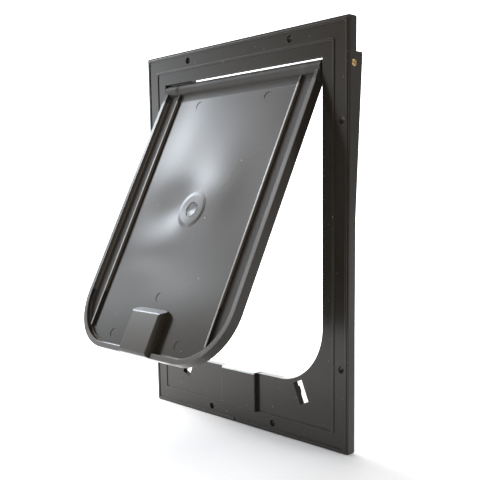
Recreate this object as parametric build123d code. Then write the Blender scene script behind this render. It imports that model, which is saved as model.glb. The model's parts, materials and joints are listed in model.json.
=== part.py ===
from build123d import *
import os

# Pet door: a flanged frame, a top-hung flap that swings both ways, and a magnet catch on the sill.
# Millimetres. X runs across the door, -Y faces the viewer and +Z is up.
# The origin is the centre of the four side screws, on the face that bears on the door.

# Frame moulding
frame_width = 280.0
frame_height = 375.0
frame_depth = 8.5
frame_wall = 3.0
frame_corner_radius = 2.0
frame_edge_radius = 0.8
top_rail = 30.5
bottom_rail = 56.5
opening_width = 219.0
opening_corner_radius = 55.0
opening_edge_radius = 0.6
back_rib_thickness = 2.0
back_rib_setback = 1.0
stile_rib_pitch = 46.0
rail_rib_pitch = 38.0

# Raised beads on the frame's face
bead_width = 2.4
bead_height = 0.8
bead_edge_radius = 0.6
outer_bead_inset = 3.2
inner_bead_inset = 17.5
outer_bead_gap = 20.0

# Screw holes for the door, empty
screw_hole_diameter = 6.5
screw_boss_diameter = 12.0
side_screw_pitch = 214.0
side_screw_height = 76.5
side_screw_inset = 8.4
top_screw_pitch = 143.0
bottom_screw_pitch = 90.4
rail_screw_inset = 10.0

# Slanted lock slots by the lower corners, empty
lock_slot_width = 11.6
lock_slot_length = 21.4
lock_slot_angle = 24.0
lock_slot_land = 4.2
lock_slot_wall = 2.5
lock_slot_depth = 6.0

# Raised housing under the sill, and its steel strike plate
housing_width = 49.0
housing_proud = 4.0
housing_edge_radius = 0.8
strike_width = 48.0
strike_depth = 12.0
strike_thickness = 1.6
strike_proud = 0.4
strike_edge_radius = 1.0
strike_clearance = 0.1
strike_screw_pitch = 38.0
strike_screw_setback = 6.0
strike_screw_diameter = 3.0
strike_screw_head = 5.4
strike_screw_length = 9.0
strike_boss_diameter = 8.0
screw_slot_width = 0.9
screw_slot_depth = 0.6

# Wedge-shaped cheeks behind the frame's sides
cheek_thickness = 4.0
cheek_step = 0.6
cheek_reach = 8.8
cheek_length = 151.0
cheek_above_axis = 9.7

# Hinge: two brass pins held in the frame, one at each end of the flap's barrel
hinge_drop = 7.7
hinge_setback = 5.5
pin_diameter = 5.8
pin_proud = 0.8
pin_engagement = 22.0
pin_edge_chamfer = 0.6
pin_slot_width = 1.2
pin_slot_depth = 0.9
pin_press_clearance = 0.02
pin_running_clearance = 0.06
pin_tube_diameter = 10.0
pin_boss_diameter = 15.0

# Flap moulding, swung open by the rest angle
rest_angle = 27.25
flap_side_clearance = 1.5
flap_sill_clearance = 1.0
panel_thickness = 2.5
panel_front = 0.85
rim_thickness = 5.0
rim_front = 5.6
rim_back = 4.4
rim_crest_flat = 4.2
rim_root_radius = 1.6
rim_back_radius = 0.7
hub_clearance = 0.6
hub_step = 0.1
hub_length = 39.0
barrel_root_radius = 2.0
rim_relief = 0.8
rim_relief_end = 15.0
rib_spacing = 171.0
rib_width = 2.2
rib_height = 2.75
rib_crown = 0.12
rib_bottom_gap = 19.5

# Moulding marks on the flap's face
gate_drop = 135.2
gate_button_diameter = 36.6
gate_button_land = 29.0
gate_button_height = 0.36
gate_dish_diameter = 13.6
gate_dish_depth = 0.6
gate_groove_width = 0.7
gate_groove_depth = 0.5
ejector_diameter = 9.0
ejector_depth = 0.4
ejector_spacing = 97.0
ejector_top_drop = 21.2
ejector_bottom_gap = 16.5
ejector_holder_gap = 11.0

# Magnet holder on the flap's bottom edge, its magnet and screws
holder_width = 47.2
holder_length = 45.5
holder_height = 8.2
holder_base_height = 3.2
holder_base_ledge = 1.1
holder_side_draft = 0.9
holder_top_draft = 6.0
holder_bottom_draft = 0.3
holder_side_radius = 3.5
holder_end_radius = 2.5
holder_corner_radius = 6.0
holder_seat_clearance = 0.1
magnet_width = 30.0
magnet_length = 12.0
magnet_thickness = 5.0
magnet_clearance = 0.15
magnet_bottom_wall = 4.5
holder_screw_pitch = 30.0
holder_screw_drop = 15.0
holder_screw_diameter = 3.0
holder_screw_depth = 5.0
holder_screw_head = 5.6
holder_screw_head_height = 1.8
screw_clearance = 0.05

# Places worked out from the sizes above
frame_bottom = -side_screw_pitch / 2 - side_screw_height
frame_top = frame_bottom + frame_height
frame_middle = (frame_top + frame_bottom) / 2
frame_front = -frame_depth
wall_back = frame_front + frame_wall
opening_top = frame_top - top_rail
sill = frame_bottom + bottom_rail
housing_front = frame_front - housing_proud
strike_top = sill + strike_proud
housing_bottom = frame_bottom + inner_bead_inset
side_screw_x = frame_width / 2 - side_screw_inset
hinge_y = frame_front + hinge_setback
hinge_z = opening_top - hinge_drop
cheek_outer = frame_width / 2 - cheek_step
cheek_top = hinge_z + cheek_above_axis
flap_width = opening_width - 2 * flap_side_clearance
flap_length = hinge_z - sill - flap_sill_clearance
flap_corner_radius = opening_corner_radius - flap_side_clearance
panel_back = panel_thickness - panel_front
rim_crest_radius = (rim_thickness - rim_crest_flat) / 2
rib_crest_radius = (rib_width ** 2 / 4 + rib_crown ** 2) / (2 * rib_crown)
hub_diameter = 2 * (hinge_drop - hub_clearance)
barrel_diameter = hub_diameter - 2 * hub_step
hub_start = flap_width / 2 - hub_length
button_front = -panel_front - gate_button_height
gate_dish_radius = (gate_dish_diameter ** 2 / 4 + gate_dish_depth ** 2) / (2 * gate_dish_depth)
holder_top = flap_length - holder_length
holder_front = panel_front + holder_height
holder_base = -panel_front - holder_base_height


def slab(outline, front, back):
    """Solid of an outline drawn in X and Z, from the front depth to the back depth along Y."""
    return extrude(Plane.XZ.offset(-back) * outline, amount=back - front)


def block(x_low, x_high, y_low, y_high, z_low, z_high):
    """Upright box between two corners."""
    size = Box(x_high - x_low, y_high - y_low, z_high - z_low)
    return Pos((x_low + x_high) / 2, (y_low + y_high) / 2, (z_low + z_high) / 2) * size


def rod_x(diameter, x_low, x_high, y=0.0, z=0.0):
    """Round bar along X."""
    return Pos((x_low + x_high) / 2, y, z) * Rot(0, 90, 0) * Cylinder(diameter / 2, x_high - x_low)


def rod_y(diameter, x, z, front, back):
    """Round bar along Y."""
    return Pos(x, (front + back) / 2, z) * Rot(90, 0, 0) * Cylinder(diameter / 2, back - front)


def rod_z(diameter, x, y, z_low, z_high):
    """Round bar along Z."""
    return Pos(x, y, (z_low + z_high) / 2) * Cylinder(diameter / 2, z_high - z_low)


def edges_at_depth(solid, depth):
    """Edges that lie wholly in the plane across Y at this depth."""
    return solid.edges().filter_by_position(Axis.Y, depth - 0.001, depth + 0.001)


def both_sides(right):
    """The right-hand feature with its mirror image on the left."""
    return [right, mirror(right, about=Plane.YZ)]


def frame_rectangle(inset, radius):
    """The frame's outline, drawn in by an inset."""
    outline = RectangleRounded(frame_width - 2 * inset, frame_height - 2 * inset, radius)
    return Pos(0, frame_middle) * outline


def u_outline(width, top, bottom, radius):
    """A rectangle with square top corners and round bottom corners."""
    outline = Pos(0, (top + bottom) / 2) * Rectangle(width, top - bottom)
    return fillet(outline.vertices().sort_by(Axis.Y)[:2], radius)


def opening_outline(margin):
    """The passage's outline, drawn out by a margin."""
    return u_outline(opening_width + 2 * margin, opening_top + margin, sill - margin,
                     opening_corner_radius + margin)


def bead(inset):
    """A low rounded bead that runs round the frame's face."""
    outer = frame_rectangle(inset - bead_width / 2, frame_corner_radius)
    inner = frame_rectangle(inset + bead_width / 2, frame_corner_radius)
    ring = slab(outer - inner, frame_front - bead_height, frame_front)
    return fillet(edges_at_depth(ring, frame_front - bead_height), bead_edge_radius)


def screw_places():
    """Centres of the holes for the door screws."""
    places = [(x, z) for x in (-side_screw_x, side_screw_x)
              for z in (-side_screw_pitch / 2, side_screw_pitch / 2)]
    places += [(side * top_screw_pitch / 2, frame_top - rail_screw_inset) for side in (-1, 1)]
    places += [(side * bottom_screw_pitch / 2, frame_bottom + rail_screw_inset) for side in (-1, 1)]
    return places


def lock_slot(margin, front, back):
    """The right-hand lock slot, set along a radius of the opening's round corner."""
    corner = Pos(opening_width / 2 - opening_corner_radius, sill + opening_corner_radius)
    run = opening_corner_radius + lock_slot_land + lock_slot_length / 2
    outline = Rectangle(lock_slot_width + 2 * margin, lock_slot_length + 2 * margin)
    return slab(corner * Rot(0, 0, lock_slot_angle) * Pos(0, -run) * outline, front, back)


def back_ribs():
    """Thin ribs between the frame's skirt and the collar round the opening."""
    stile_low = opening_width / 2
    stile_high = frame_width / 2 - frame_wall / 2
    rib_back = -back_rib_setback
    ribs = []
    stile_count = int((opening_top - sill) // stile_rib_pitch) + 1
    for index in range(stile_count):
        z = frame_middle + (index - (stile_count - 1) / 2) * stile_rib_pitch
        rib = block(stile_low, stile_high, wall_back, rib_back,
                    z - back_rib_thickness / 2, z + back_rib_thickness / 2)
        ribs += both_sides(rib)
    rail_count = int((frame_width - 2 * frame_wall) // rail_rib_pitch)
    for index in range(rail_count):
        x = (index - (rail_count - 1) / 2) * rail_rib_pitch
        low, high = x - back_rib_thickness / 2, x + back_rib_thickness / 2
        ribs.append(block(low, high, wall_back, rib_back, opening_top, frame_top - frame_wall / 2))
        ribs.append(block(low, high, wall_back, rib_back, frame_bottom + frame_wall / 2, sill))
    return ribs


def cheek():
    """The right-hand wedge behind the frame's side, deepest at the hinge."""
    profile = Polygon((wall_back, cheek_top - cheek_length), (0, cheek_top - cheek_length),
                      (cheek_reach, cheek_top), (wall_back, cheek_top), align=None)
    plane = Plane.YZ.offset(cheek_outer - cheek_thickness)
    return extrude(plane * profile, amount=cheek_thickness)


def hinge_boss():
    """The right-hand tube for a hinge pin, with the round boss at its outer end."""
    tube = rod_x(pin_tube_diameter, opening_width / 2, cheek_outer, hinge_y, hinge_z)
    boss = rod_x(pin_boss_diameter, cheek_outer - cheek_thickness, frame_width / 2, hinge_y, hinge_z)
    behind_face = block(0, frame_width, wall_back, hinge_y + pin_boss_diameter,
                        hinge_z - pin_boss_diameter, hinge_z + pin_boss_diameter)
    return tube + (boss & behind_face)


def housing():
    """The hollow raised housing under the sill, with bosses for the strike screws."""
    half = housing_width / 2
    shell = block(-half, half, housing_front, 0, housing_bottom, sill)
    front_edges = edges_at_depth(shell, housing_front).filter_by_position(
        Axis.Z, housing_bottom - 1, sill - 1)
    shell = fillet(front_edges, housing_edge_radius)
    shell -= block(-half + frame_wall, half - frame_wall, housing_front + frame_wall, 0,
                   housing_bottom + frame_wall, sill - frame_wall)
    for x, y in strike_screw_places():
        boss = rod_z(strike_boss_diameter, x, y, sill - strike_screw_length - frame_wall, sill)
        shell += boss & block(-half, half, housing_front, 0, housing_bottom, sill)
    return shell


def strike_screw_places():
    """Centres of the two screws through the strike plate."""
    return [(side * strike_screw_pitch / 2, -strike_screw_setback) for side in (-1, 1)]


def strike_seat(margin):
    """The strike plate's block, drawn out by a margin; its front is flush with the housing."""
    half = strike_width / 2
    return block(-half - margin, half + margin,
                 housing_front - margin, housing_front + strike_depth + margin,
                 strike_top - strike_thickness, strike_top)


def make_frame():
    outline = frame_rectangle(0, frame_corner_radius)
    skirt = outline - frame_rectangle(frame_wall, frame_corner_radius)
    opening = opening_outline(0)
    shell = slab(outline, frame_front, wall_back)
    shell = fillet(edges_at_depth(shell, frame_front), frame_edge_radius)
    shell += slab(skirt, wall_back, 0)
    shell += slab(opening_outline(frame_wall), wall_back, 0)
    shell += back_ribs()
    shell += [rod_y(screw_boss_diameter, x, z, wall_back, 0) for x, z in screw_places()]
    shell += both_sides(lock_slot(lock_slot_wall, wall_back, frame_front + lock_slot_depth))
    shell += both_sides(cheek())
    shell += both_sides(hinge_boss())
    shell -= slab(opening, frame_front, cheek_reach + pin_boss_diameter)
    shell -= block(-hub_start, opening_width / 2, wall_back, 0, opening_top, opening_top + frame_wall)
    shell = fillet(edges_at_depth(shell, frame_front).filter_by_position(
        Axis.X, -opening_width / 2 - 1, opening_width / 2 + 1), opening_edge_radius)
    outer_bead = bead(outer_bead_inset)
    outer_bead -= block(-outer_bead_gap / 2, outer_bead_gap / 2, frame_front - bead_height, frame_front,
                        frame_bottom, frame_bottom + inner_bead_inset)
    shell += [outer_bead, bead(inner_bead_inset)]
    half = housing_width / 2
    shell -= block(-half + frame_wall, half - frame_wall, frame_front, 0,
                   housing_bottom + frame_wall, sill - frame_wall)
    shell += housing()
    for x, z in screw_places():
        shell -= rod_y(screw_hole_diameter, x, z, frame_front - bead_height, cheek_reach)
    shell -= both_sides(lock_slot(0, frame_front - bead_height, 0))
    bore = rod_x(pin_diameter + 2 * pin_press_clearance, 0, frame_width, hinge_y, hinge_z)
    shell -= both_sides(bore)
    shell -= strike_seat(strike_clearance)
    for x, y in strike_screw_places():
        hole = strike_screw_diameter + 2 * screw_clearance
        shell -= rod_z(hole, x, y, sill - strike_screw_length - screw_clearance, sill)
    return shell


def make_hinge_pin():
    """The right-hand brass pin, slotted at its outer end."""
    inner = flap_width / 2 - pin_engagement
    outer = frame_width / 2 + pin_proud
    pin = rod_x(pin_diameter, inner, outer, hinge_y, hinge_z)
    pin = chamfer(pin.edges().filter_by(GeomType.CIRCLE), pin_edge_chamfer)
    pin -= block(outer - pin_slot_depth, outer, hinge_y - pin_diameter, hinge_y + pin_diameter,
                 hinge_z - pin_slot_width / 2, hinge_z + pin_slot_width / 2)
    return pin


def make_strike_plate():
    plate = strike_seat(0)
    plate = fillet(plate.edges().filter_by(Axis.Z), strike_edge_radius)
    for x, y in strike_screw_places():
        plate -= strike_screw(x, y, screw_clearance)
    return plate


def strike_screw(x, y, margin):
    """A countersunk screw down into the sill, drawn out by a margin; its head is flush."""
    head_radius = strike_screw_head / 2 + margin
    shank_radius = strike_screw_diameter / 2 + margin
    head = Cone(shank_radius, head_radius, strike_thickness)
    head = Pos(x, y, strike_top - strike_thickness / 2) * head
    return head + rod_z(2 * shank_radius, x, y, sill - strike_screw_length, strike_top - strike_thickness)


def make_strike_screws():
    screws = []
    for x, y in strike_screw_places():
        slot = block(x - strike_screw_head, x + strike_screw_head,
                     y - screw_slot_width / 2, y + screw_slot_width / 2,
                     strike_top - screw_slot_depth, strike_top)
        screws.append(strike_screw(x, y, 0) - slot)
    return screws


# The flap's pieces are drawn hanging closed, with the hinge axis through the origin.
# A drop is a distance down from the axis, and fronts are distances towards -Y.


def flap_outline(inset):
    """The flap's outline below the hinge axis, drawn in at the sides and the bottom."""
    return u_outline(flap_width - 2 * inset, 0, inset - flap_length, flap_corner_radius - inset)


def edges_below_axis(solid, depth):
    """Edges in the plane across Y at this depth, but for those level with the hinge axis."""
    return edges_at_depth(solid, depth).filter_by(lambda edge: edge.center().Z < -0.001)


def flap_ribs():
    """Two long ribs on the panel's face, from the barrel to above the bottom rim."""
    ribs = []
    for side in (-1, 1):
        x = side * rib_spacing / 2
        crest = -panel_front - rib_height
        rib = block(x - rib_width / 2, x + rib_width / 2, crest, -panel_front,
                    rib_bottom_gap - flap_length, 0)
        rib &= rod_z(2 * rib_crest_radius, x, crest + rib_crest_radius, rib_bottom_gap - flap_length, 0)
        ribs.append(rib)
    return ribs


def hinge_barrel():
    """The round barrel along the flap's top, run into the panel, with a larger hub at each end."""
    half = flap_width / 2 - rim_thickness / 2
    panel = Rectangle(panel_thickness, barrel_diameter)
    section = Circle(barrel_diameter / 2)
    section += Pos(panel_thickness / 2 - panel_front, -barrel_diameter / 2) * panel
    roots = section.vertices().filter_by_position(Axis.Y, -barrel_diameter / 2, -barrel_diameter / 4)
    section = fillet(roots, barrel_root_radius)
    barrel = extrude(Plane.YZ.offset(-half) * section, amount=2 * half)
    return barrel + both_sides(rod_x(hub_diameter, hub_start, flap_width / 2))


def gate_button():
    """The low button round the moulding gate, in the panel's middle."""
    button = Cone(gate_button_diameter / 2, gate_button_land / 2, gate_button_height)
    return Pos(0, -panel_front - gate_button_height / 2, -gate_drop) * Rot(90, 0, 0) * button


def gate_dish():
    """The shallow dish that the gate left in the button, with a fine groove round it."""
    groove_back = button_front + gate_groove_depth
    dish = Pos(0, button_front + gate_dish_depth - gate_dish_radius, -gate_drop) * Sphere(gate_dish_radius)
    dish &= rod_y(gate_dish_diameter, 0, -gate_drop, button_front, button_front + gate_dish_depth)
    groove = rod_y(gate_dish_diameter + 2 * gate_groove_width, 0, -gate_drop, button_front, groove_back)
    groove -= rod_y(gate_dish_diameter, 0, -gate_drop, button_front, groove_back)
    return [dish, groove]


def ejector_marks():
    """Shallow round marks left on the panel by the mould's ejector pins."""
    half = ejector_spacing / 2
    bottom = flap_length - ejector_bottom_gap
    places = [(-half, ejector_top_drop), (half, ejector_top_drop), (-half, bottom), (half, bottom)]
    places.append((0, holder_top - ejector_holder_gap))
    return [rod_y(ejector_diameter, x, -drop, -panel_front, ejector_depth - panel_front)
            for x, drop in places]


def holder_screw_places():
    """Centres of the screws that hold the magnet holder, in X and Z."""
    return [(side * holder_screw_pitch / 2, -holder_top - holder_screw_drop) for side in (-1, 1)]


def make_flap():
    flap = slab(flap_outline(0), -rim_front, rim_back)
    flap -= slab(flap_outline(rim_thickness), -rim_front, -panel_front)
    flap -= slab(flap_outline(rim_thickness), panel_back, rim_back)
    flap = fillet(edges_below_axis(flap, -panel_front), rim_root_radius)
    flap = fillet(edges_below_axis(flap, panel_back), rim_back_radius)
    flap = fillet(edges_below_axis(flap, -rim_front), rim_crest_radius)
    flap = fillet(edges_below_axis(flap, rim_back), rim_back_radius)
    flap += flap_ribs()
    flap -= both_sides(block(flap_width / 2 - rim_relief, flap_width / 2, -rim_front, rim_back,
                             -rim_relief_end, 0))
    flap += hinge_barrel()
    flap += gate_button()
    flap -= gate_dish()
    flap -= ejector_marks()
    seat = holder_width / 2 + holder_seat_clearance
    flap -= block(-seat, seat, -rim_front, -panel_front, -flap_length, -holder_top + holder_seat_clearance)
    bore = pin_diameter + 2 * pin_running_clearance
    flap -= both_sides(rod_x(bore, flap_width / 2 - pin_engagement - pin_edge_chamfer, flap_width / 2))
    for x, z in holder_screw_places():
        flap -= rod_y(holder_screw_diameter + 2 * screw_clearance, x, z, -panel_front, panel_back)
    return flap


def make_magnet_holder():
    """A drafted box on a wider base: its cross-section, cut to its slanted ends and its plan."""
    half = holder_width / 2
    waist = half - holder_base_ledge
    section = Polygon((half, -panel_front), (-half, -panel_front),
                      (-half, holder_base), (-waist, holder_base),
                      (-waist + holder_side_draft, -holder_front),
                      (waist - holder_side_draft, -holder_front),
                      (waist, holder_base), (half, holder_base), align=None)
    section = fillet(section.vertices().sort_by(Axis.Y)[:2], holder_side_radius)
    profile = Polygon((-panel_front, -flap_length), (-panel_front, -holder_top),
                      (-holder_front, -holder_top - holder_top_draft),
                      (-holder_front, -flap_length + holder_bottom_draft), align=None)
    profile = fillet(profile.vertices().sort_by(Axis.X)[:2], holder_end_radius)
    holder = extrude(Plane.XY.offset(-flap_length) * section, amount=holder_length)
    holder &= extrude(Plane.YZ.offset(-half) * profile, amount=holder_width)
    plan = Pos(0, holder_length / 2 - flap_length) * Rectangle(holder_width, holder_length)
    plan = fillet(plan.vertices().sort_by(Axis.Y)[-2:], holder_corner_radius)
    holder &= slab(plan, -holder_front, -panel_front)
    holder -= magnet_block(magnet_clearance)
    for x, z in holder_screw_places():
        holder -= rod_y(holder_screw_diameter + 2 * screw_clearance, x, z,
                        -panel_front - holder_screw_depth - screw_clearance, -panel_front)
    return holder


def magnet_block(margin):
    """The bar magnet behind the holder's lower end, drawn out by a margin."""
    bottom = flap_length - magnet_bottom_wall
    half = magnet_width / 2
    return block(-half - margin, half + margin, -panel_front - magnet_thickness - margin, -panel_front,
                 -bottom - margin, -bottom + magnet_length + margin)


def make_holder_screws():
    screws = []
    for x, z in holder_screw_places():
        screw = rod_y(holder_screw_diameter, x, z, -panel_front - holder_screw_depth, panel_back)
        head = rod_y(holder_screw_head, x, z, panel_back, panel_back + holder_screw_head_height)
        head_back = panel_back + holder_screw_head_height
        head = fillet(edges_at_depth(head, head_back), holder_screw_head_height / 3)
        slot = block(x - holder_screw_head, x + holder_screw_head, head_back - screw_slot_depth, head_back,
                     z - screw_slot_width / 2, z + screw_slot_width / 2)
        screws.append(screw + head - slot)
    return screws


def hang(solids):
    """Flap pieces placed on the hinge axis and swung open to the rest angle."""
    swing = Pos(0, hinge_y, hinge_z) * Rot(-rest_angle, 0, 0)
    return [swing * solid for solid in solids]


right_pin = make_hinge_pin()
nodes = {
    "frame": [make_frame()],
    "strike_plate": [make_strike_plate()],
    "strike_screws": make_strike_screws(),
    "hinge_pin_right": [right_pin],
    "hinge_pin_left": [mirror(right_pin, about=Plane.YZ)],
    "flap": hang([make_flap()]),
    "magnet_holder": hang([make_magnet_holder()]),
    "flap_magnet": hang([magnet_block(0)]),
    "holder_screws": hang(make_holder_screws()),
}

os.makedirs("parts", exist_ok=True)
for name, pieces in nodes.items():
    solids = [solid for piece in pieces for solid in piece.solids()]
    export_step(solids[0] if len(solids) == 1 else Compound(children=solids), f"parts/{name}.step")
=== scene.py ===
import json
import math

import bpy
from mathutils import Matrix, Vector


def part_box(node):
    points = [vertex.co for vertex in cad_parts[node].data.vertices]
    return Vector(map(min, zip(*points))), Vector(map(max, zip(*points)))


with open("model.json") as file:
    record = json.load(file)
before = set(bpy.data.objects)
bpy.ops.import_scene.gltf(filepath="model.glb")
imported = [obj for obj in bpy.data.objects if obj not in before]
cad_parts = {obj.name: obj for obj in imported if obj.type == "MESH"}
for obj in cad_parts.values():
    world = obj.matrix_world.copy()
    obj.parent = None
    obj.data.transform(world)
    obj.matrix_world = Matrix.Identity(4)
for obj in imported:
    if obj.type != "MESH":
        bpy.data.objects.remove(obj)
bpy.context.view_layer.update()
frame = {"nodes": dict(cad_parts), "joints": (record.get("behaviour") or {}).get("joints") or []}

# Frame: one injection moulding in brown-black plastic that screws to the door, with two raised beads
# round its face. The mould left a satin skin, broad flow waves and a fine grain, and the face has
# gathered dust. The underside of the lintel's ends is rougher.


class Wire:
    """A shader socket that can stand in a sum; a Wire with no socket only adds nodes to its tree."""

    def __init__(self, tree, socket=None):
        self.tree = tree
        self.socket = socket

    def node(self, kind, settings=None, sockets=None, output=0):
        """Adds a node, makes its settings, then sets or links its sockets."""
        made = self.tree.nodes.new(kind)
        for name, value in (settings or {}).items():
            setattr(made, name, value)
        for name, value in (sockets or {}).items():
            if isinstance(value, Wire):
                self.tree.links.new(value.socket, made.inputs[name])
            else:
                made.inputs[name].default_value = value
        return Wire(self.tree, made.outputs[output])

    def math(self, operation, *others):
        return self.node("ShaderNodeMath", {"operation": operation}, dict(enumerate((self, *others))))

    def __add__(self, other):
        return self.math("ADD", other)

    def __sub__(self, other):
        return self.math("SUBTRACT", other)

    def __rsub__(self, other):
        return self.math("MULTIPLY_ADD", -1.0, other)

    def __mul__(self, other):
        return self.math("MULTIPLY", other)

    def __truediv__(self, other):
        return self.math("DIVIDE", other)

    __radd__ = __add__
    __rmul__ = __mul__

    def hump(self):
        """A bell curve of self: 1 at 0, falling off by about 1 on each side."""
        return (self * self * -0.5).math("EXPONENT")

    def step(self, low, high):
        """0 below low, 1 above high and a smooth rise between; low may be the greater."""
        if low > high:
            return 1 - self.step(high, low)
        return self.node("ShaderNodeMapRange", {"interpolation_type": "SMOOTHSTEP"},
                         {0: self, 1: low, 2: high, 3: 0.0, 4: 1.0})

    def vector(self, operation, *others, output=0):
        sockets = dict(enumerate((self, *others)))
        return self.node("ShaderNodeVectorMath", {"operation": operation}, sockets, output)

    def along(self, direction):
        """How far a place lies along a direction."""
        return self.vector("DOT_PRODUCT", tuple(direction), output=1)

    def noise(self, scale, detail=2.0, stretch=(1.0, 1.0, 1.0), shift=(0.0, 0.0, 0.0)):
        """Noise from about -1 to 1, with this many lumps to the metre; self is a place."""
        place = self.vector("MULTIPLY_ADD", stretch, shift)
        lumps = self.node("ShaderNodeTexNoise", {}, {"Vector": place, "Scale": scale, "Detail": detail})
        return 2 * lumps - 1

    def tint(self, base, other):
        """Mixes from one colour to another as self goes from 0 to 1."""
        return self.node("ShaderNodeMix", {"data_type": "RGBA"}, {0: self, 6: base, 7: other}, 2)

    def specks(self, spacing, size, share):
        """Round specks of about this size, in this share of cells this far apart; self is a place."""
        cell = {"Vector": self, "Scale": 1 / spacing}
        near = self.node("ShaderNodeTexVoronoi", {}, cell, 0)
        pick = self.node("ShaderNodeTexVoronoi", {}, cell, 1).along((1.0, 0.0, 0.0))
        core, share_edge = 0.4 * size, 0.02
        return near.step(size / spacing, core / spacing) * pick.step(share, share - share_edge)

    def scratches(self, spacing, width, share, direction):
        """Fine scuffs across a direction, broken into short lengths; self is a place."""
        wander, bends = 0.4, 60.0
        breaks, breaks_shift, breaks_edge = 45.0, (3.0, 5.0, 7.0), 0.1
        across = self.along(direction) / spacing + wander * self.noise(bends)
        line = across.math("FRACT").step(width / spacing, 0.0)
        return line * self.noise(breaks, 1.0, shift=breaks_shift).step(share, share + breaks_edge)


def finish(name, metallic=0.0, ior=1.5):
    """A new material: itself, the place on the piece in metres, and its shader's sockets."""
    material = bpy.data.materials.new(name)
    material.use_nodes = True
    shader = material.node_tree.nodes["Principled BSDF"].inputs
    shader["Metallic"].default_value = metallic
    shader["IOR"].default_value = ior
    place = Wire(material.node_tree).node("ShaderNodeTexCoord", output=3)
    return material, place, shader


def connect(shader, color, roughness, height):
    """Feeds a shader its colour and roughness, and a relief given in metres."""
    normal = color.node("ShaderNodeBump", {}, {"Strength": 1.0, "Distance": 1.0, "Height": height})
    for name, wire in (("Base Color", color), ("Roughness", roughness), ("Normal", normal)):
        color.tree.links.new(wire.socket, shader[name])


def dress(material, *nodes):
    """Gives CAD pieces their material."""
    for node in nodes:
        for slot in frame["nodes"][node].material_slots:
            slot.material = material


plastic_dark = (0.021, 0.0175, 0.0135, 1.0)
plastic_light = (0.031, 0.0265, 0.021, 1.0)
plastic_ior = 1.46
dust_grey = (0.30, 0.29, 0.27, 1.0)
dust_spacing, dust_size = 0.011, 0.0007
dust_cover, dust_roughness, dust_height = 0.8, 0.3, 0.00006
flow_lumps, skin_lumps, grain_lumps = 14.0, 35.0, 1500.0
skin_height, grain_height = 0.000012, 0.000002
satin_roughness, satin_unevenness = 0.21, 0.015


def moulded(place, dust_share):
    """Colour, roughness and relief of the satin brown-black moulding."""
    flow = place.noise(flow_lumps, 3.0)
    grain = place.noise(grain_lumps, 2.0)
    dust = place.specks(dust_spacing, dust_size, dust_share)
    color = (0.5 + 0.5 * flow).tint(plastic_dark, plastic_light)
    color = (dust_cover * dust).tint(color, dust_grey)
    roughness = satin_roughness + satin_unevenness * flow + satin_unevenness * grain + dust_roughness * dust
    relief = grain_height * grain + skin_height * place.noise(skin_lumps, 1.0) + dust_height * dust
    return color, roughness, relief


frame_dust_share = 0.22
fine_dust_spacing, fine_dust_size, fine_dust_share = 0.0055, 0.00045, 0.30
fine_dust_cover = 0.7
lintel_height, lintel_band = 0.161, 0.0004
lintel_front, lintel_fade = -0.0082, 0.0006
lintel_rough_start, lintel_rough_fade = 0.068, 0.001
lintel_roughness = 0.45
frame_plastic, place, shader = finish("frame_satin_plastic", ior=plastic_ior)
color, roughness, relief = moulded(place, frame_dust_share)
fine_dust = place.specks(fine_dust_spacing, fine_dust_size, fine_dust_share)
color = (fine_dust_cover * fine_dust).tint(color, dust_grey)
above_lintel = place.along((0.0, 0.0, 1.0)) - lintel_height
sideways = place.along((1.0, 0.0, 0.0)).math("ABSOLUTE")
inward = place.along((0.0, 1.0, 0.0))
under_lintel = above_lintel.step(-2 * lintel_band, -lintel_band)
under_lintel = under_lintel * above_lintel.step(lintel_band, lintel_band / 4)
under_lintel = under_lintel * sideways.step(lintel_rough_start, lintel_rough_start + lintel_rough_fade)
under_lintel = under_lintel * inward.step(lintel_front, lintel_front + lintel_fade)
connect(shader, color, roughness + lintel_roughness * under_lintel, relief)
dress(frame_plastic, "frame")

# Hinge pins: two turned brass rods pressed through the frame's sides, with a screwdriver slot in the
# outer end. They carry the flap's barrel. The lathe left fine rings, and the brass has dulled.
brass_bright = (0.72, 0.52, 0.23, 1.0)
brass_dull = (0.36, 0.25, 0.11, 1.0)
brass_polish, brass_dulling = 0.26, 0.2
lathe_rings, ring_height = 14000.0, 0.0000025
tarnish_lumps, tarnish_start, tarnish_full = 420.0, 0.35, 0.8
pin_low, pin_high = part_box("hinge_pin_right")
pin_axis = (pin_low + pin_high) / 2
pin_brass, place, shader = finish("turned_brass", metallic=1.0)
round_axis = place.vector("SUBTRACT", tuple(pin_axis)).vector("MULTIPLY", (0.0, 1.0, 1.0))
rings = (lathe_rings * round_axis.vector("LENGTH", output=1)).math("SINE")
tarnish = (0.5 + 0.5 * place.noise(tarnish_lumps, 3.0)).step(tarnish_start, tarnish_full)
color = tarnish.tint(brass_bright, brass_dull)
connect(shader, color, brass_polish + brass_dulling * tarnish, ring_height * rings)
dress(pin_brass, "hinge_pin_right", "hinge_pin_left")

# Strike plate: a zinc-plated steel strip let into the sill, which the flap's magnet pulls on. It is
# brushed along its length and held by two countersunk screws of the same finish.
zinc_bright = (0.44, 0.47, 0.46, 1.0)
zinc_dull = (0.28, 0.30, 0.30, 1.0)
zinc_polish, zinc_brushing, zinc_clouding = 0.24, 0.08, 0.06
brush_lumps = 1600.0
cloud_lumps, cloud_start, cloud_full = 160.0, 0.3, 0.8
plate_brushing, plate_depth = (0.03, 1.0, 1.0), 0.000003
screw_brushing, screw_depth = (1.0, 0.15, 1.0), 0.000002


def plated(name, brushing, depth):
    """Zinc-plated steel, brushed along the direction with the smallest stretch."""
    material, place, shader = finish(name, metallic=1.0)
    brushed = place.noise(brush_lumps, 2.0, brushing)
    cloud = (0.5 + 0.5 * place.noise(cloud_lumps, 2.0)).step(cloud_start, cloud_full)
    roughness = zinc_polish + zinc_brushing * brushed + zinc_clouding * cloud
    connect(shader, cloud.tint(zinc_bright, zinc_dull), roughness, depth * brushed)
    return material


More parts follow.
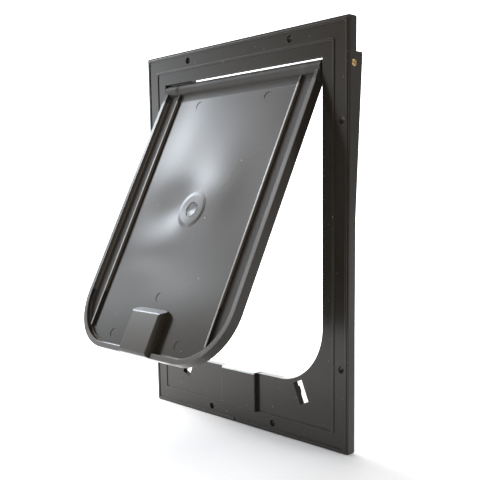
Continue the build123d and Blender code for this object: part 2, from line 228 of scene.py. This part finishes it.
dress(plated("brushed_zinc_plate", plate_brushing, plate_depth), "strike_plate")
screw_zinc = plated("zinc_screw", screw_brushing, screw_depth)
dress(screw_zinc, "strike_screws")

# Flap: a rimmed panel moulded in the same plastic, hung on the pins by the barrel along its top edge.
# The plastic shrank round the moulding gate in its middle and left a low dome with soft waves about it.
# The crests of the ribs and rims are painted grey, partly wear and partly a painted highlight. The walls
# along the side channels are painted a lighter brown as painted fill light. Dust dulls the barrel and the
# side channels.
hinge = Vector(frame["joints"][0]["pos_m"])
flap_open = math.radians(27.25)
flap_down = Vector((0.0, -math.sin(flap_open), -math.cos(flap_open)))
flap_front = Vector((0.0, -math.cos(flap_open), math.sin(flap_open)))
flap_dust_share, flap_polish = 0.15, -0.01
scuff_spacing, scuff_width, scuff_share, scuff_cover = 0.037, 0.0003, 0.35, 0.25
scuff_direction = (1.0, 0.08, 0.0)
panel_edge, panel_fade = 0.084, 0.008
rib_place, crest_half, crest_fade = 0.0855, 0.00088, 0.00016
rib_top, rib_bottom = 0.014, 0.2595
rib_top_fade, rib_bottom_fade = 0.002, 0.0005
# The crests of the ribs and rims are painted grey: partly wear, partly a painted highlight.
rib_crest_start, rim_crest_start, proud_fade = 0.0030, 0.0050, 0.0004
rim_wear_and_highlight_share = 0.25
crest_wear_and_highlight_grey = (0.30, 0.29, 0.28, 1.0)
# Painted fill light: the walls of the ribs and rims along the side channels are painted a lighter brown.
wall_start, wall_end, wall_bottom = 0.0838, 0.1055, 0.224
wall_start_fade, wall_end_fade, wall_bottom_fade = 0.0003, 0.001, 0.002
wall_foot = 0.0010
painted_wall_light = (0.100, 0.085, 0.064, 1.0)
gate_drop = 0.1352
button_radius = 0.0183
button_crown = 0.0004
skirt_height = 0.0021
skirt_reach = 0.014
channel_start, channel_end = 0.0870, 0.1030
channel_sink = 0.00015
channel_fade, channel_end_fade = 0.0003, 0.0005
channel_dull, barrel_dull = 0.28, 0.30
# Each wave: its place across and down from the hinge, its half width, half length and height.
waves = (
    (-0.021, 0.134, 0.024, 0.016, -0.0016),
    (-0.050, 0.1845, 0.031, 0.0195, 0.0012),
    (0.026, 0.114, 0.024, 0.027, 0.0015),
    (-0.071, 0.019, 0.018, 0.048, -0.0008),
    (0.018, 0.212, 0.060, 0.039, 0.0012),
)
flap_plastic, place, shader = finish("flap_satin_plastic", ior=plastic_ior)
color, roughness, relief = moulded(place, flap_dust_share)
from_hinge = place.vector("SUBTRACT", tuple(hinge))
across = from_hinge.along((1.0, 0.0, 0.0))
outward = across.math("ABSOLUTE")
drop = from_hinge.along(flap_down)
proud = from_hinge.along(flap_front)
below_gate = drop - gate_drop
ring = (across * across + below_gate * below_gate).math("SQRT")
warp = skirt_height * (ring.math("MAXIMUM", button_radius) / -skirt_reach).math("EXPONENT")
on_button = (ring / button_radius).math("MINIMUM", 1.0)
warp = warp - button_crown * on_button * on_button
for wave_across, wave_drop, half_width, half_length, wave_height in waves:
    wave = ((across - wave_across) / half_width).hump() * ((drop - wave_drop) / half_length).hump()
    warp = warp + wave_height * wave
on_panel = outward.step(panel_edge + panel_fade, panel_edge)
sink = channel_sink * outward.step(channel_start, channel_end) * across.math("SIGN")
under_barrel = drop.step(rib_top - rib_top_fade, rib_top + rib_top_fade)
from_crest = (outward - rib_place).math("ABSOLUTE")
# Masks for the grey painted on the rib and rim crests: partly wear, partly a painted highlight.
rib_crest_wear_and_highlight = from_crest.step(crest_half + crest_fade, crest_half - crest_fade) * under_barrel
rib_crest_wear_and_highlight = rib_crest_wear_and_highlight * drop.step(rib_bottom + rib_bottom_fade, rib_bottom - rib_bottom_fade)
rib_crest_wear_and_highlight = rib_crest_wear_and_highlight * proud.step(rib_crest_start, rib_crest_start + proud_fade)
rim_crest_wear_and_highlight = proud.step(rim_crest_start, rim_crest_start + proud_fade) * under_barrel
# Mask for the painted fill light on the rib and rim walls along the side channels.
painted_wall_light_mask = outward.step(wall_start - wall_start_fade, wall_start) * under_barrel
painted_wall_light_mask = painted_wall_light_mask * outward.step(wall_end, wall_end - wall_end_fade)
painted_wall_light_mask = painted_wall_light_mask * proud.step(wall_foot, wall_foot + proud_fade)
painted_wall_light_mask = painted_wall_light_mask * proud.step(rim_crest_start, rim_crest_start - proud_fade)
painted_wall_light_mask = painted_wall_light_mask * drop.step(wall_bottom + wall_bottom_fade, wall_bottom - wall_bottom_fade)
in_channel = (outward - channel_start).step(-channel_fade, channel_fade) * under_barrel
in_channel = in_channel * outward.step(channel_end, channel_end - channel_end_fade)
roughness = roughness + flap_polish + channel_dull * in_channel + barrel_dull * (1 - under_barrel)
scuff = place.scratches(scuff_spacing, scuff_width, scuff_share, scuff_direction)
# Painted fill light: the channel walls are painted a lighter brown.
color = painted_wall_light_mask.tint(color, painted_wall_light)
color = (scuff_cover * scuff).tint(color, dust_grey)
# Painted highlight and wear: the rib and rim crests are painted grey.
color = (rib_crest_wear_and_highlight + rim_wear_and_highlight_share * rim_crest_wear_and_highlight).tint(color, crest_wear_and_highlight_grey)
connect(shader, color, roughness, relief + warp * on_panel - sink)
dress(flap_plastic, "flap")

# Magnet holder: a drafted plastic box screwed to the flap's bottom edge from behind. It holds a bar of
# sintered ferrite, and its skin is a little browner and smoother than the flap's.
holder_brown = (0.050, 0.042, 0.027, 1.0)
holder_brownness, holder_clouding, holder_lumps = 0.4, 0.1, 60.0
holder_dust_share, holder_polish = 0.05, -0.02
holder_ior = 1.48
holder_plastic, place, shader = finish("holder_satin_plastic", ior=holder_ior)
color, roughness, relief = moulded(place, holder_dust_share)
color = (holder_brownness + holder_clouding * place.noise(holder_lumps)).tint(color, holder_brown)
connect(shader, color, roughness + holder_polish, relief)
dress(holder_plastic, "magnet_holder")

ferrite_grey = (0.055, 0.055, 0.06, 1.0)
ferrite_black = (0.02, 0.02, 0.022, 1.0)
ferrite_roughness, ferrite_unevenness = 0.6, 0.1
grit_lumps, grit_height = 2600.0, 0.00001
ferrite, place, shader = finish("sintered_ferrite")
grit = place.noise(grit_lumps, 3.0)
color = (0.5 + 0.5 * grit).tint(ferrite_black, ferrite_grey)
connect(shader, color, ferrite_roughness + ferrite_unevenness * grit, grit_height * grit)
dress(ferrite, "flap_magnet")
dress(screw_zinc, "holder_screws")

# Studio: a pale floor in a dim room with soft patches of light. The floor glows as painted light: its glow
# is brighter at the left, a band of painted shadow lies across it in front of the frame, and the glow fades
# out behind the frame at the right. Narrow windows and pale walls at the left are mirrored in the flap, and
# weaker light comes from behind, from the front and from the right. The camera stands where the
# photograph was taken.
floor_half = 4.0
floor_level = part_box("frame")[0].z
paper_dark = (0.90, 0.90, 0.90, 1.0)
paper_light = (0.94, 0.94, 0.94, 1.0)
paper_roughness, paper_unevenness = 0.7, 0.05
paper_lumps, paper_height = 30.0, 0.00005
# Colours and reach of the floor's painted glow, its band of painted shadow and its painted shade.
floor_dim = (0.10, 0.10, 0.098, 1.0)
floor_lit = (1.4, 1.4, 1.4, 1.0)
black = (0.0, 0.0, 0.0, 1.0)
lit_start, lit_full = 0.05, -0.30
shade_place, shade_reach, shade_depth = -0.50, 0.18, 0.85
dark_right, dark_right_full = 0.22, 0.36
dark_behind, dark_behind_full = 0.10, 0.24
floor_mesh = bpy.data.meshes.new("studio_floor")
floor_corners = ((-1, -1), (1, -1), (1, 1), (-1, 1))
floor_mesh.from_pydata([(x * floor_half, y * floor_half, floor_level) for x, y in floor_corners], [],
                       [(0, 1, 2, 3)])
floor = bpy.data.objects.new("studio_floor", floor_mesh)
bpy.context.scene.collection.objects.link(floor)
glowing_floor, place, shader = finish("glowing_floor")
paper = place.noise(paper_lumps, 3.0)
color = (0.5 + 0.5 * paper).tint(paper_dark, paper_light)
connect(shader, color, paper_roughness + paper_unevenness * paper, paper_height * paper)
rightward = place.along((1.0, 0.0, 0.0))
backward = place.along((0.0, 1.0, 0.0))
# Painted light: the floor glows, brighter towards the left.
painted_floor_glow = rightward.step(lit_start, lit_full).tint(floor_dim, floor_lit)
# Painted shadow: a band across the floor in front of the frame dims the glow.
painted_shadow_band = ((backward - shade_place) / shade_reach).hump()
painted_floor_glow = (shade_depth * painted_shadow_band).tint(painted_floor_glow, black)
# Painted shade: behind the frame at the right the glow fades to black.
painted_shade_behind_right = rightward.step(dark_right, dark_right_full) * backward.step(dark_behind, dark_behind_full)
painted_floor_glow = painted_shade_behind_right.tint(painted_floor_glow, black)
glowing_floor.node_tree.links.new(painted_floor_glow.socket, shader["Emission Color"])
shader["Emission Strength"].default_value = 1.0
floor_mesh.materials.append(glowing_floor)

white = (1.0, 1.0, 1.0)
cool = (0.93, 1.0, 1.07)
sky = (0.87, 0.98, 1.15)
lamp = (1.2, 0.8, 0.5)
straw = (1.4, 1.0, 0.4)
# Each patch: its turn from the left towards the viewer, its rise, half length, half width and spin in
# degrees, then its strength and colour.
patches = (
    (14, 29, 6.5, 1.8, 37.5, 14.0, cool),
    (29, 25, 4.5, 1.8, 46.5, 6.5, cool),
    (30.5, 34.5, 6, 1.8, 34.5, 1.5, cool),
    (0, 32, 15, 15, 0, 3.3, sky),
    (-30, 32, 15, 15, 0, 2.5, white),
    (-30, 2, 15, 15, 0, 1.7, white),
    (-60, 2, 15, 15, 0, 1.9, white),
    (-60, 32, 15, 15, 0, 0.5, white),
    (-120, 2, 15, 15, 0, 0.55, white),
    (0, 65, 16, 16, 0, 0.7, lamp),
    (30, 32, 15, 15, 0, 0.3, straw),
    (30, 2, 7, 7, 0, 5.2, cool),
    (-8, 33, 5, 5, 0, 12.0, cool),
    (50, 1, 8, 6, 0, 0.8, white),
    (180, 55, 18, 18, 0, 2.2, white),
    (85, 25, 10, 10, 0, 1.2, cool),
)
far_side, near_side = 0.0, 0.3
world = bpy.data.worlds.new("studio")
world.use_nodes = True
bpy.context.scene.world = world
toward = Wire(world.node_tree).node("ShaderNodeTexCoord", output=0)
light = toward.vector("MULTIPLY", (0.0, 0.0, 0.0))
for turn, rise, half_length, half_width, spin, strength, tone in patches:
    turn, rise, spin = math.radians(turn), math.radians(rise), math.radians(spin)
    half_length, half_width = math.radians(half_length), math.radians(half_width)
    level_heading = Vector((-math.cos(turn), -math.sin(turn), 0.0))
    heading = math.cos(rise) * level_heading + Vector((0.0, 0.0, math.sin(rise)))
    level = Vector((math.sin(turn), -math.cos(turn), 0.0))
    upward = heading.cross(level)
    long_way = math.cos(spin) * level + math.sin(spin) * upward
    short_way = math.cos(spin) * upward - math.sin(spin) * level
    patch = (toward.along(long_way) / half_length).hump() * (toward.along(short_way) / half_width).hump()
    patch = patch * toward.along(heading).step(far_side, near_side)
    light = patch.vector("MULTIPLY_ADD", tuple(strength * part for part in tone), light)
world.node_tree.links.new(light.socket, world.node_tree.nodes["Background"].inputs["Color"])

photo_size = 480
photo_center = (263.64, 306.68)
focal_pixels = 760.2
camera_place = (0.5531, -0.5113, 0.0450)
camera_turn = math.radians(45.866)
camera_tilt = math.radians(81.715)
camera_roll = math.radians(-0.666)
camera = bpy.data.cameras.new("photo_camera")
camera.sensor_width = 36.0
camera.lens = camera.sensor_width * focal_pixels / photo_size
camera.shift_x = (photo_size / 2 - photo_center[0]) / photo_size
camera.shift_y = (photo_center[1] - photo_size / 2) / photo_size
camera.clip_start = 0.01
viewer = bpy.data.objects.new("photo_camera", camera)
viewer.matrix_world = (Matrix.Translation(camera_place) @ Matrix.Rotation(camera_turn, 4, "Z")
                       @ Matrix.Rotation(camera_tilt, 4, "X") @ Matrix.Rotation(camera_roll, 4, "Z"))
bpy.context.scene.collection.objects.link(viewer)
bpy.context.scene.camera = viewer
bpy.context.scene.view_settings.view_transform = "Standard"
